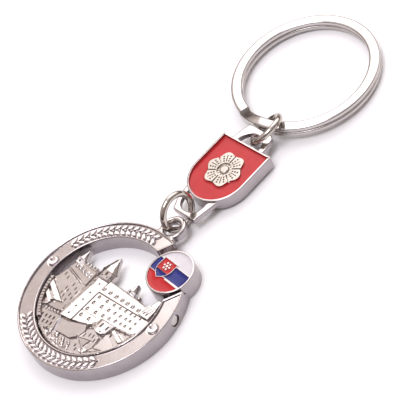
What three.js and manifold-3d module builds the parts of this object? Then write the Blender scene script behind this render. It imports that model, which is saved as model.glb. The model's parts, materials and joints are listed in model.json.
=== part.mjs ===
// Souvenir keychain: a ring pendant with a pivoting castle panel and an enamelled badge,
// a shield-shaped connector, two wire jump rings and a flat split key ring.
// Millimetres. +X runs along the chain from the pendant to the key ring, +Z is up and the
// chain lies on z = 0. The origin is the middle of the footprint.
import * as THREE from 'three';
import { mergeVertices } from 'three/addons/utils/BufferGeometryUtils.js';
import Module from 'manifold-3d';

const wasm = await Module();
wasm.setup();

// ---- driving dimensions -------------------------------------------------------------------

const KEY_RING = { x: 32.82, outer: 16, wire: 2.29, thick: 1.15, pitch: 1.27, raise: 1.15 };
KEY_RING.rampFrom = 156; // degrees round the ring where the wire starts to climb
KEY_RING.rampTo = 196;

const PENDANT = { x: -31.14, turn: -3, outer: 17.77, inner: 14.01, thick: 3.77 };
PENDANT.outerRim = 0.6;
PENDANT.innerRim = 0.45;
PENDANT.bandDepth = 0.4;

const EYE = { u: 0.9, v: 19.8, outer: 2.7, hole: 1.7, bottom: 1.9, top: 3.5 };
const BADGE = { u: 9.4, v: 11.57, radius: 5.14, top: 4.2, rim: 0.45, cell: 0.6, line: 0.3 };
BADGE.flagTurn = -3.7; // degrees the bands of colour are turned from the pendant's level
const BADGE_SLOT = { angle: 30, offset: 1.77, halfWidth: 6.17, floor: 2.5 };

const PANEL = { radius: 13.7, bottom: 0.35, plate: 2.2 };
const PIVOT = { angle: 75, radius: 0.75, bore: 0.95, seat: 1.25, seatDepth: 0.5 };
PIVOT.height = PENDANT.thick / 2;
PIVOT.inner = 10.6; // the pin reaches from here ...
PIVOT.outer = PENDANT.outer - PIVOT.seatDepth; // ... to here, from the pendant's centre

const SHIELD = { x: 4.36, y: -1.75, turn: -2.5, halfWidth: 6.95, straight: 8.65 };
SHIELD.middle = 7.85; // from the top edge down to the point that x and y give
SHIELD.bottom = 0.6;
SHIELD.top = 3.3;
SHIELD.rim = 0.5;
SHIELD.cell = 0.75;

const BAIL = { bottom: 1.95, top: 3.15, topHeight: 4.3, topHalf: 3.6, topBase: 4.45, topHole: 2.95 };
BAIL.lowEnd = -19.98;
BAIL.lowHalf = 3.6;
BAIL.lowBase = 4.8;
BAIL.lowHole = 3.1;
BAIL.lowHoleV = -16.07;

const LINK = { radius: 3.8, wire: 0.66 };
const LOWER_LINK = { x: -8.38, y: -1.3, z: 4.42, normal: [0.047, -0.985, 0.132] };
const UPPER_LINK = { x: 17.1, y: -2.8, z: 2.9, normal: [-0.02, 0.595, 0.803] };

const FIT = 0.15; // gap left round every piece that sits in another

// ---- materials ----------------------------------------------------------------------------

const nickel = new THREE.MeshStandardMaterial({ color: 0xd9d3cf, roughness: 0.22, metalness: 1 });
const steel = new THREE.MeshStandardMaterial({ color: 0xdcd9d8, roughness: 0.15, metalness: 1 });
const red = new THREE.MeshStandardMaterial({ color: 0xd0202a, roughness: 0.2, metalness: 0 });
const blue = new THREE.MeshStandardMaterial({ color: 0x2438a0, roughness: 0.2, metalness: 0 });
const white = new THREE.MeshStandardMaterial({ color: 0xf4f2f2, roughness: 0.2, metalness: 0 });

// ---- solids -------------------------------------------------------------------------------

function solid(geometry) {
  const bare = geometry.index ? geometry.toNonIndexed() : geometry.clone();
  bare.deleteAttribute('normal');
  bare.deleteAttribute('uv');
  const merged = mergeVertices(bare, 1e-4);
  const vertProperties = new Float32Array(merged.attributes.position.array);
  const triVerts = new Uint32Array(merged.index.array);
  return new wasm.Manifold(new wasm.Mesh({ numProp: 3, vertProperties, triVerts }));
}

function geometryOf(body) {
  const mesh = body.getMesh();
  const geometry = new THREE.BufferGeometry();
  const points = new Float32Array(mesh.vertProperties);
  geometry.setAttribute('position', new THREE.BufferAttribute(points, mesh.numProp));
  geometry.setIndex(new THREE.BufferAttribute(new Uint32Array(mesh.triVerts), 1));
  geometry.computeVertexNormals();
  return geometry;
}

const unite = (bodies) => bodies.reduce((sum, body) => sum.add(body));
const radians = THREE.MathUtils.degToRad;

function outline(points) {
  return new THREE.Shape(points.map(([u, v]) => new THREE.Vector2(u, v)));
}

function slab(shape, bottom, top, curveSegments = 24) {
  const settings = { depth: top - bottom, bevelEnabled: false, curveSegments };
  return solid(new THREE.ExtrudeGeometry(shape, settings).translate(0, 0, bottom));
}

function disc(u, v, radius, bottom, top, sides = 48) {
  const shape = new THREE.Shape().absarc(u, v, radius, 0, 2 * Math.PI);
  return slab(shape, bottom, top, sides);
}

function block(left, right, low, high, bottom, top) {
  return slab(outline([[left, low], [right, low], [right, high], [left, high]]), bottom, top);
}

// A round bar that points away from the centre, at an angle clockwise from the v axis.
function radialBar(angle, from, to, radius, height) {
  const bar = new THREE.CylinderGeometry(radius, radius, to - from, 16);
  bar.translate(0, (from + to) / 2, 0);
  bar.rotateZ(-radians(angle));
  return solid(bar.translate(0, 0, height));
}

function turnedBlock(angle, left, right, from, to, bottom, top) {
  const shape = outline([[left, from], [right, from], [right, to], [left, to]]);
  const settings = { depth: top - bottom, bevelEnabled: false };
  const box = new THREE.ExtrudeGeometry(shape, settings).translate(0, 0, bottom);
  return solid(box.rotateZ(-radians(angle)));
}

function part(name, geometry, material) {
  const mesh = new THREE.Mesh(geometry, material);
  mesh.name = name;
  return mesh;
}

const bodyPart = (name, body, material) => part(name, geometryOf(body), material);

// ---- pendant ring -------------------------------------------------------------------------

function band(from, to, bottom, top) {
  const profile = [[from, bottom], [to, bottom], [to, top], [from, top], [from, bottom]];
  const points = profile.map(([r, z]) => new THREE.Vector2(r, z));
  return solid(new THREE.LatheGeometry(points, 72).rotateX(Math.PI / 2));
}

// The slot that the badge sits in, widened on both sides by extra.
function badgeSlot(extra, bottom, top) {
  const left = BADGE_SLOT.offset - BADGE_SLOT.halfWidth - extra;
  const right = BADGE_SLOT.offset + BADGE_SLOT.halfWidth + extra;
  const from = PENDANT.inner - 4;
  return turnedBlock(BADGE_SLOT.angle, left, right, from, PENDANT.outer + 4, bottom, top);
}

function pendantRing() {
  const { outer, inner, thick, outerRim, innerRim, bandDepth } = PENDANT;
  const floor = thick - bandDepth;
  const recess = band(inner + innerRim, outer - outerRim, floor, thick + 1)
    .subtract(badgeSlot(innerRim, floor - 1, thick + 2));
  const lug = disc(EYE.u, EYE.v, EYE.outer, EYE.bottom, EYE.top, 32);
  const root = block(EYE.u - 2.2, EYE.u + 2.2, outer - 0.8, EYE.v, EYE.bottom, EYE.top);
  const cuts = [
    recess,
    badgeSlot(0, BADGE_SLOT.floor, thick + 1),
    disc(EYE.u, EYE.v, EYE.hole, EYE.bottom - 1, EYE.top + 1, 32),
    disc(BADGE.u, BADGE.v, BADGE.radius + FIT, -1, thick + 1, 64),
  ];
  for (const angle of [PIVOT.angle, PIVOT.angle + 180]) {
    cuts.push(radialBar(angle, inner - 1, outer + 1, PIVOT.bore, PIVOT.height));
    cuts.push(radialBar(angle, PIVOT.outer, outer + 1, PIVOT.seat, PIVOT.height));
  }
  return unite([band(inner, outer, 0, thick), lug, root]).subtract(unite(cuts));
}

function pivotPin(angle) {
  return radialBar(angle, PIVOT.inner, PIVOT.outer, PIVOT.radius, PIVOT.height);
}

// ---- badge --------------------------------------------------------------------------------

// The badge's face is drawn level, then turned by flagTurn and moved to its place.
function onBadge(body) {
  return body.rotate([0, 0, BADGE.flagTurn]).translate([BADGE.u, BADGE.v, 0]);
}

const CREST = { u: -1.6, half: 1.9, top: 1.95, shoulder: -0.5, tip: -2.4, split: -0.9 };
const BAND = { upper: 1.5, lower: -1.65 };

function crestOutline(inset) {
  const { u, half, top, shoulder, tip } = CREST;
  return outline([
    [u - half + inset, top - inset], [u - half + inset, shoulder], [u, tip + 1.3 * inset],
    [u + half - inset, shoulder], [u + half - inset, top - inset],
  ]);
}

// One enamel cell: what is left of the field between two levels, clear of rim, lines and crest.
function badgeCell(left, right, low, high, gap) {
  const floor = BADGE.top - BADGE.cell + (gap ? 0.05 : 0);
  const top = BADGE.top - (gap ? 0.12 : -1);
  const field = disc(0, 0, BADGE.radius - BADGE.rim - gap, floor, top, 48);
  const box = block(left + gap, right - gap, low + gap, high - gap, floor - 1, top + 1);
  const crest = slab(crestOutline(-BADGE.line - gap), floor - 2, top + 2);
  return field.intersect(box).subtract(crest);
}

const HALF_LINE = BADGE.line / 2;
const WIDE = BADGE.radius + 1;
const CELLS = {
  badge_enamel_white: { box: [-WIDE, WIDE, BAND.upper + HALF_LINE, WIDE], material: white },
  badge_enamel_blue_left: {
    box: [-WIDE, CREST.u, BAND.lower + HALF_LINE, BAND.upper - HALF_LINE], material: blue,
  },
  badge_enamel_blue_right: {
    box: [CREST.u, WIDE, BAND.lower + HALF_LINE, BAND.upper - HALF_LINE], material: blue,
  },
  badge_enamel_red: { box: [-WIDE, WIDE, -WIDE, BAND.lower - HALF_LINE], material: red },
};

function crestCell(low, high, gap) {
  const floor = BADGE.top - BADGE.cell + (gap ? 0.05 : 0);
  const top = BADGE.top - (gap ? 0.12 : -1);
  const cell = slab(crestOutline(gap), floor, top);
  return cell.intersect(block(-WIDE, WIDE, low + gap, high - gap, floor - 1, top + 1));
}

const CREST_CELLS = {
  badge_crest_red: { low: CREST.split + HALF_LINE, high: WIDE, material: red },
  badge_crest_blue: { low: -WIDE, high: CREST.split - HALF_LINE, material: blue },
};

function badgeBody() {
  const cells = Object.values(CELLS).map(({ box }) => badgeCell(...box, 0));
  const crests = Object.values(CREST_CELLS).map(({ low, high }) => crestCell(low, high, 0));
  const body = disc(0, 0, BADGE.radius, 0, BADGE.top, 64);
  return onBadge(body.subtract(unite([...cells, ...crests])));
}

// ---- castle panel -------------------------------------------------------------------------

// Roof line from the left end of the panel to the right end, in the pendant's u and v.
const SKYLINE = [
  [-14, -2.3], [-12.7, -1.7], [-11.3, 3.2], [-10.9, 6.8], [-9.8, 3.7], [-9.8, 4.1],
  [-5.5, 4.1], [-5.5, 5.4], [-3.2, 8.7], [-1.4, 5.4], [-1.4, 3.8], [4, 3.6], [4, 4.6],
  [4.9, 6.3], [5.9, 4.4], [5.9, 3.6], [6.8, 3.6], [7.2, 4.5], [7.7, 3.6], [10.3, 3.3],
  [10.5, 3.7], [11.4, 5.9], [14, 5.3], [14, -14], [-14, -14],
];

// Masses of the building: left, right, low, high and the height of the top face.
const MASSES = [
  [-11.4, -5, -6, 3.9, 2.9], // round bastion wing
  [-5, -1.5, -7.4, 5.4, 3.4], // corner tower
  [-1.5, 11.8, -6.6, 0.9, 2.8], // great hall
  [-1.5, 11.2, 0.9, 3.4, 3.1], // hall roof
  [-11.5, -3.4, -11.5, -7.6, 2.8], // lower range
  [-3.2, 2.8, -10.8, -6.4, 3.1], // terrace
  [2.8, 6.9, -12, -5.4, 2.9], // gatehouse
];

function castlePanel() {
  const { radius, bottom, plate } = PANEL;
  const round = disc(0, 0, radius, bottom, PENDANT.thick, 72);
  const skyline = slab(outline(SKYLINE), bottom, plate);
  const masses = MASSES.map(([l, r, low, high, top]) => block(l, r, low, high, bottom, top));
  const border = disc(0, 0, radius, bottom, plate + 0.6, 72)
    .subtract(disc(0, 0, radius - 0.7, bottom - 1, plate + 1, 72))
    .intersect(slab(outline(SKYLINE), bottom - 1, plate + 1));
  const bosses = [PIVOT.angle, PIVOT.angle + 180].map((angle) =>
    turnedBlock(angle, -1.5, 1.5, PIVOT.inner - 1, radius, bottom, plate + 1));
  const bores = [PIVOT.angle, PIVOT.angle + 180].map((angle) =>
    radialBar(angle, PIVOT.inner - FIT, radius + 1, PIVOT.bore, PIVOT.height));
  const whole = unite([skyline, ...masses, border, ...bosses]).intersect(round);
  return whole.subtract(unite(bores));
}

// ---- shield connector ---------------------------------------------------------------------

function shieldOutline(inset) {
  const half = SHIELD.halfWidth - inset;
  const shape = new THREE.Shape();
  shape.moveTo(half, -inset);
  shape.lineTo(-half, -inset);
  shape.lineTo(-half, -SHIELD.straight);
  shape.absarc(0, -SHIELD.straight, half, Math.PI, 2 * Math.PI);
  shape.lineTo(half, -inset);
  return shape;
}

const EMBLEM = { middle: -7.2, radius: 4, wave: 0.35, petals: 6, corners: 72 };

// A plain round flower with six petals, standing up out of the shield's field.
function emblemOutline(grow) {
  const { middle, radius, wave, petals, corners } = EMBLEM;
  const points = [];
  for (let i = 0; i < corners; i += 1) {
    const angle = (2 * Math.PI * i) / corners;
    const reach = radius + grow + wave * Math.cos(petals * angle);
    points.push([reach * Math.cos(angle), middle + reach * Math.sin(angle)]);
  }
  return outline(points);
}

function shieldConnector() {
  const { bottom, top, cell, rim } = SHIELD;
  const plate = slab(shieldOutline(0), bottom, top, 24);
  const field = slab(shieldOutline(rim), top - cell, top + 1, 24);
  const emblem = slab(emblemOutline(0), top - cell - 0.2, top - 0.1);
  const upper = slab(outline([
    [-BAIL.topBase, -0.3], [BAIL.topBase, -0.3],
    [BAIL.topHalf, BAIL.topHeight], [-BAIL.topHalf, BAIL.topHeight],
  ]), BAIL.bottom, BAIL.top);
  const upperHole = disc(0, 0, BAIL.topHole, bottom - 1, top + 1, 32);
  const lower = slab(outline([
    [-BAIL.lowHalf, BAIL.lowEnd], [BAIL.lowHalf, BAIL.lowEnd],
    [BAIL.lowBase, -13.9], [-BAIL.lowBase, -13.9],
  ]), BAIL.bottom, BAIL.top);
  const lowerHole = disc(0, BAIL.lowHoleV, BAIL.lowHole, bottom - 1, top + 1, 32);
  const bails = unite([upper.subtract(upperHole), lower.subtract(lowerHole)]);
  return unite([plate, bails]).subtract(field).add(emblem);
}

function shieldEnamel() {
  const { top, cell, rim } = SHIELD;
  const field = slab(shieldOutline(rim + FIT), top - cell + 0.05, top - 0.3, 24);
  return field.subtract(slab(emblemOutline(FIT), top - cell - 1, top + 1));
}

// ---- wire and flat rings ------------------------------------------------------------------

function jumpRing(name, place) {
  const ring = part(name, new THREE.TorusGeometry(LINK.radius, LINK.wire, 10, 36), steel);
  ring.position.set(place.x, place.y, place.z);
  const normal = new THREE.Vector3(...place.normal).normalize();
  ring.quaternion.setFromUnitVectors(new THREE.Vector3(0, 0, 1), normal);
  return ring;
}

// A flat wire wound nearly twice: one turn low, a ramp, then one turn on top of it.
function splitRingGeometry() {
  const { outer, wire, thick, pitch, rampFrom, rampTo } = KEY_RING;
  const step = 6;
  const from = rampTo;
  const to = rampFrom + 720;
  const count = Math.round((to - from) / step);
  const positions = [];
  for (let i = 0; i <= count; i += 1) {
    const angle = from + ((to - from) * i) / count;
    const climb = THREE.MathUtils.smoothstep(angle, rampFrom + 360, rampTo + 360) * pitch;
    const cos = Math.cos(radians(angle));
    const sin = Math.sin(radians(angle));
    for (const [r, z] of [[outer - wire, 0], [outer, 0], [outer, thick], [outer - wire, thick]]) {
      positions.push(r * cos, r * sin, z + climb);
    }
  }
  const index = [];
  for (let i = 0; i < count; i += 1) {
    for (let side = 0; side < 4; side += 1) {
      const a = 4 * i + side;
      const b = 4 * i + ((side + 1) % 4);
      index.push(a, a + 4, b, b, a + 4, b + 4);
    }
  }
  const last = 4 * count;
  index.push(0, 1, 2, 0, 2, 3, last, last + 2, last + 1, last, last + 3, last + 2);
  const geometry = new THREE.BufferGeometry();
  geometry.setAttribute('position', new THREE.Float32BufferAttribute(positions, 3));
  geometry.setIndex(index);
  geometry.computeVertexNormals();
  return geometry;
}

// ---- assembly -----------------------------------------------------------------------------

// Groups are drawn with u to the right and v up; v is then laid along the chain.
function laidGroup(x, y, turn) {
  const group = new THREE.Group();
  group.position.set(x, y, 0);
  group.rotation.z = radians(turn - 90);
  return group;
}

const pendant = laidGroup(PENDANT.x, 0, PENDANT.turn);
pendant.add(
  bodyPart('pendant_ring', pendantRing(), nickel),
  bodyPart('badge_body', badgeBody(), nickel),
  bodyPart('castle_panel', castlePanel(), nickel),
  bodyPart('pivot_pin_right', pivotPin(PIVOT.angle), steel),
  bodyPart('pivot_pin_left', pivotPin(PIVOT.angle + 180), steel),
);
for (const [name, { box, material }] of Object.entries(CELLS)) {
  pendant.add(bodyPart(name, onBadge(badgeCell(...box, 0.08)), material));
}
for (const [name, { low, high, material }] of Object.entries(CREST_CELLS)) {
  pendant.add(bodyPart(name, onBadge(crestCell(low, high, 0.08)), material));
}

const shieldTop = new THREE.Vector2(SHIELD.middle, 0).rotateAround(
  new THREE.Vector2(), radians(SHIELD.turn));
const shield = laidGroup(SHIELD.x + shieldTop.x, SHIELD.y + shieldTop.y, SHIELD.turn);
shield.add(
  bodyPart('shield_connector', shieldConnector(), nickel),
  bodyPart('shield_enamel', shieldEnamel(), red),
);

const keyRing = part('split_ring', splitRingGeometry(), steel);
const lean = Math.atan(KEY_RING.raise / (2 * KEY_RING.outer));
keyRing.rotation.y = lean;
keyRing.position.set(KEY_RING.x, 0, KEY_RING.outer * Math.sin(lean));

const keychain = new THREE.Group();
keychain.add(
  pendant,
  jumpRing('lower_jump_ring', LOWER_LINK),
  shield,
  jumpRing('upper_jump_ring', UPPER_LINK),
  keyRing,
);

export default keychain;
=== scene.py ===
"""Looks of the souvenir keychain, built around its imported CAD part.

Shapes are written in millimetres on drawing planes: u to the right, v up the chain, z off the floor.
Each plane is then laid into the CAD frame, whose unit is the metre.
"""

import json
import math

import bpy
import numpy as np
from mathutils import Matrix, Vector
from mathutils.geometry import delaunay_2d_cdt


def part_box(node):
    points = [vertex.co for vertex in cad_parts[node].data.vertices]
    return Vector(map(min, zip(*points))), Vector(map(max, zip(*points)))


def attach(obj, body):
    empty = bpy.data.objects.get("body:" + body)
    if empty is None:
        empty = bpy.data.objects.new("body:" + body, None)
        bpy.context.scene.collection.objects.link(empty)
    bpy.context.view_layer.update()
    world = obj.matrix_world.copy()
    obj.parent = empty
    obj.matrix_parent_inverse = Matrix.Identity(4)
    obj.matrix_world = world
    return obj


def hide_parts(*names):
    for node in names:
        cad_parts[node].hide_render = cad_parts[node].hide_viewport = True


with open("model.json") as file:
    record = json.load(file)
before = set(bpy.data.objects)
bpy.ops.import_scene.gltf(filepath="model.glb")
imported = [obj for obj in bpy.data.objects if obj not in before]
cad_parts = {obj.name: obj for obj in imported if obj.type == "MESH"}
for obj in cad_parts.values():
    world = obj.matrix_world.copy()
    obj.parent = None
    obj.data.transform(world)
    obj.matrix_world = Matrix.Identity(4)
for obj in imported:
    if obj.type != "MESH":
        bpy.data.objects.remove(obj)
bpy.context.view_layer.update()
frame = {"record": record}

MM = 0.001
JOINTS = {joint["name"]: joint for joint in frame["record"]["behaviour"]["joints"]}

# ---- driving dimensions, in millimetres and degrees, close to the CAD part's ---------------

PENDANT_OUTER = 17.77
PENDANT_INNER = 14.01
PENDANT_TOP = 3.77
BAND_FLOOR = 3.37
RIM_BEAD = 0.2  # radius of the rims' rounded tops
PENDANT_TURN = -3
SLOT_ANGLE = 30
SLOT_OFFSET = 1.77
SLOT_HALF = 6.17
NECK_TOP = 2.5
EYE = (0.9, 19.8)
EYE_OUTER = 2.85
EYE_RIM = (1.02, 19.92)  # centre of the lug's outer edge
EYE_HOLE = 1.7
EYE_LOW, EYE_HIGH = 1.9, 3.5
EYE_ROUND = 0.5
BADGE = (9.4, 11.57)
BADGE_RADIUS = 5.14
BADGE_TOP = 4.2
BADGE_RIM = 0.38
FLAG_TURN = -3.7
PANEL_RADIUS = 13.85
PANEL_BOTTOM = 0.35
PIN_ANGLE = 75
PIN_RADIUS = 0.75
PIN_BORE = 0.95
PIN_SEAT = 1.25
PIN_HEIGHT = 1.885
PIN_INNER, PIN_OUTER = 10.6, 17.27
SHIELD_TURN = -2.5
SHIELD_HALF = 6.95
SHIELD_STRAIGHT = 8.65
SHIELD_LOW, SHIELD_TOP = 0.6, 3.3
SHIELD_RIM = 0.45
SHIELD_FLOOR = 2.55
BAIL_LOW, BAIL_HIGH = 1.95, 3.15
LINK_RADIUS, LINK_WIRE = 3.76, 0.7
LOWER_NORMAL = (0.047, -0.985, 0.132)
UPPER_NORMAL = (-0.02, 0.595, 0.803)
RING_OUTER, RING_WIRE, RING_THICK, RING_PITCH = 16, 2.29, 1.15, 1.27
RING_RAISE = 1.15
RAMP_FROM, RAMP_TO = 156, 196


# ---- drawing planes ------------------------------------------------------------------------

def laid(x, y, turn, z=0.0):
    """Matrix from a drawing plane, in millimetres, to the CAD frame, in metres."""
    place = Matrix.Translation((x * MM, y * MM, z * MM))
    return place @ Matrix.Rotation(math.radians(turn - 90), 4, "Z") @ Matrix.Scale(MM, 4)


def middle(node):
    low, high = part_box(node)
    return (low + high) / 2 / MM


pivot = Vector(JOINTS["panel_pivot"]["pos_m"]) / MM
PENDANT = laid(pivot.x, pivot.y, PENDANT_TURN)
ON_BADGE = PENDANT @ Matrix.Translation((*BADGE, 0)) @ Matrix.Rotation(math.radians(FLAG_TURN), 4, "Z")
SHIELD_CENTRE = (4.36, -1.75)
SHIELD_MIDDLE = 7.85  # from the centre to the top edge
shield_turn = math.radians(SHIELD_TURN)
SHIELD_X = SHIELD_CENTRE[0] + SHIELD_MIDDLE * math.cos(shield_turn)
SHIELD_Y = SHIELD_CENTRE[1] + SHIELD_MIDDLE * math.sin(shield_turn)
SHIELD = laid(SHIELD_X, SHIELD_Y, SHIELD_TURN)


# ---- outlines and distances ----------------------------------------------------------------

def arc(centre, radius, start, end, step=0.45):
    """Points on an arc, with angles in degrees anticlockwise from the u axis."""
    count = max(3, int(abs(math.radians(end - start)) * radius / step))
    angles = np.radians(np.linspace(start, end, count + 1))
    return np.c_[centre[0] + radius * np.cos(angles), centre[1] + radius * np.sin(angles)]


def circle(centre, radius, step=0.3):
    return arc(centre, radius, 0, 360, step)[:-1]


def dense(loop, step, closed=True):
    """The same outline with no side longer than step."""
    loop = np.asarray(loop, float)
    ends = np.roll(loop, -1, 0) if closed else loop[1:]
    starts = loop if closed else loop[:-1]
    pieces = []
    for a, b in zip(starts, ends):
        count = max(1, int(math.ceil(np.hypot(*(b - a)) / step)))
        pieces.append(a + (b - a) * np.linspace(0, 1, count, endpoint=False)[:, None])
    if not closed:
        pieces.append(loop[-1:])
    return np.concatenate(pieces)


REACH = 0.6  # distances are exact up to here, and FAR beyond
FAR = 9.0


def to_segments(points, loop, closed=True):
    """Distance from each point to an outline."""
    loop = np.asarray(loop, float)
    ends = np.roll(loop, -1, 0) if closed else loop[1:]
    starts = loop if closed else loop[:-1]
    best = np.full(len(points), FAR**2)
    x, y = points[:, 0], points[:, 1]
    for a, b in zip(starts, ends):
        (x1, x2), (y1, y2) = sorted((a[0], b[0])), sorted((a[1], b[1]))
        near = np.flatnonzero((x > x1 - REACH) & (x < x2 + REACH) & (y > y1 - REACH) & (y < y2 + REACH))
        if not len(near):
            continue
        along = b - a
        close = points[near]
        share = np.clip(((close - a) @ along) / max(along @ along, 1e-12), 0, 1)
        gap = close - a - share[:, None] * along
        best[near] = np.minimum(best[near], np.einsum("ij,ij->i", gap, gap))
    return np.sqrt(best)


def inside(points, loops):
    """Even-odd test against one or more closed outlines."""
    odd = np.zeros(len(points), bool)
    order = np.argsort(points[:, 1])
    x, y = points[order, 0], points[order, 1]
    for loop in loops:
        for (x1, y1), (x2, y2) in zip(loop, np.roll(loop, -1, 0)):
            if y1 == y2:
                continue
            low, high = np.searchsorted(y, sorted((y1, y2)))
            rows = slice(low, high)
            odd[rows] ^= x[rows] < x1 + (y[rows] - y1) * (x2 - x1) / (y2 - y1)
    result = np.zeros(len(points), bool)
    result[order] = odd
    return result


def ring_of(loop):
    """The outline with its first point again at the end."""
    return np.vstack([loop, loop[:1]])


def loop_edges(loops, start=0):
    """Pairs of neighbouring points along each outline, numbered on from start."""
    edges = []
    for loop in loops:
        edges += [(start + i, start + (i + 1) % len(loop)) for i in range(len(loop))]
        start += len(loop)
    return edges


def triangulate(points, edges):
    """Corners, triangles, and the numbers of the input points behind each corner."""
    out, _, tris, origin, _, _ = delaunay_2d_cdt([Vector(p) for p in points], edges, [], 0, 1e-6, True)
    return np.array([tuple(p) for p in out]), np.array([t for t in tris if len(t) == 3]), origin


def signed(points, loops):
    """Distance to the outlines, positive inside."""
    near = np.min([to_segments(points, loop) for loop in loops], axis=0)
    return np.where(inside(points, loops), near, -near)


# ---- meshes --------------------------------------------------------------------------------

def add_mesh(name, verts, faces, place, sharp=38):
    mesh = bpy.data.meshes.new(name)
    mesh.from_pydata([tuple(p) for p in verts], [], faces)
    mesh.transform(place)
    mesh.validate()
    mesh.update()
    mesh.shade_smooth()
    mesh.set_sharp_from_angle(angle=math.radians(sharp))
    obj = bpy.data.objects.new(name, mesh)
    bpy.context.scene.collection.objects.link(obj)
    return obj


def inward(loop):
    """Unit normals of a closed outline's corners, towards its left side."""
    along = np.roll(loop, -1, 0) - np.roll(loop, 1, 0)
    along /= np.maximum(np.hypot(along[:, 0], along[:, 1]), 1e-9)[:, None]
    return np.c_[-along[:, 1], along[:, 0]]


def rectangle(centre, width, height, lean):
    a = math.radians(lean)
    corners = []
    for across, up in ((-1, -1), (1, -1), (1, 1), (-1, 1), (-1, -1)):
        x, y = across * width / 2, up * height / 2
        corners.append((centre[0] + x * math.cos(a) - y * math.sin(a),
                        centre[1] + x * math.sin(a) + y * math.cos(a)))
    return np.array(corners)


class Relief:
    """Heights over a drawing plane, painted one shape after another.

    Each shape gives the distance to its edge, positive inside, and notes that edge."""

    def __init__(self, points, base):
        self.p = points
        self.u = points[:, 0]
        self.v = points[:, 1]
        self.z = np.full(len(points), float(base))
        self.edges = []

    def poly(self, corners):
        corners = np.asarray(corners, float)
        self.edges.append(ring_of(corners))
        return signed(self.p, [corners])

    def disc(self, centre, radius):
        self.edges.append(arc(centre, abs(radius), 0, 360, 0.12))
        return radius - np.hypot(self.u - centre[0], self.v - centre[1])

    def bar(self, line, width):
        if len(line) == 2:
            (x1, y1), (x2, y2) = line
            lean = math.degrees(math.atan2(y2 - y1, x2 - x1))
            middle_point = ((x1 + x2) / 2, (y1 + y2) / 2)
            self.edges.append(rectangle(middle_point, math.hypot(x2 - x1, y2 - y1) + width, width, lean))
        return width / 2 - to_segments(self.p, line, closed=False)

    def box(self, centre, width, height, lean=0.0, noted=True):
        """A block whose uprights lean with the drawing, turned by lean degrees."""
        if noted:
            self.edges.append(rectangle(centre, width, height, lean))
        c, s = math.cos(math.radians(lean)), math.sin(math.radians(lean))
        du, dv = self.u - centre[0], self.v - centre[1]
        across, up = du * c + dv * s, -du * s + dv * c
        return np.minimum(width / 2 - np.abs(across), height / 2 - np.abs(up))

    def window(self, centre, width, height, lean=0.0):
        """A round-headed opening."""
        head = width / 2
        top = (centre[0], centre[1] + height / 2 - head)
        foot = centre[1] - height / 2
        arch = arc(top, head, 0, 180, 0.12)
        self.edges.append(np.vstack([arch, [(top[0] - head, foot), (top[0] + head, foot)], arch[:1]]))
        block = self.box((centre[0], centre[1] - head / 2), width, height - head, noted=False)
        return np.maximum(block, head - np.hypot(self.u - top[0], self.v - top[1]))

    def level(self, gap, z, soft=0.07):
        share = np.clip(gap / soft + 0.5, 0, 1)
        self.z += share * (z - self.z)

    def shift(self, gap, dz, soft=0.07):
        self.z += dz * np.clip(gap / soft + 0.5, 0, 1)

    def swell(self, gap, z, radius):
        """A rounded bead: z at its edge plus a quarter round of the radius."""
        reach = np.clip(gap, 0, radius)
        top = z + np.sqrt(np.maximum(radius**2 - (radius - reach) ** 2, 0))
        self.z = np.where(gap > 0, np.maximum(self.z, top), self.z)

    def slope(self, gap, point, z, rise_u, rise_v, soft=0.07):
        plane = z + rise_u * (self.u - point[0]) + rise_v * (self.v - point[1])
        share = np.clip(gap / soft + 0.5, 0, 1)
        self.z += share * (plane - self.z)


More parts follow.
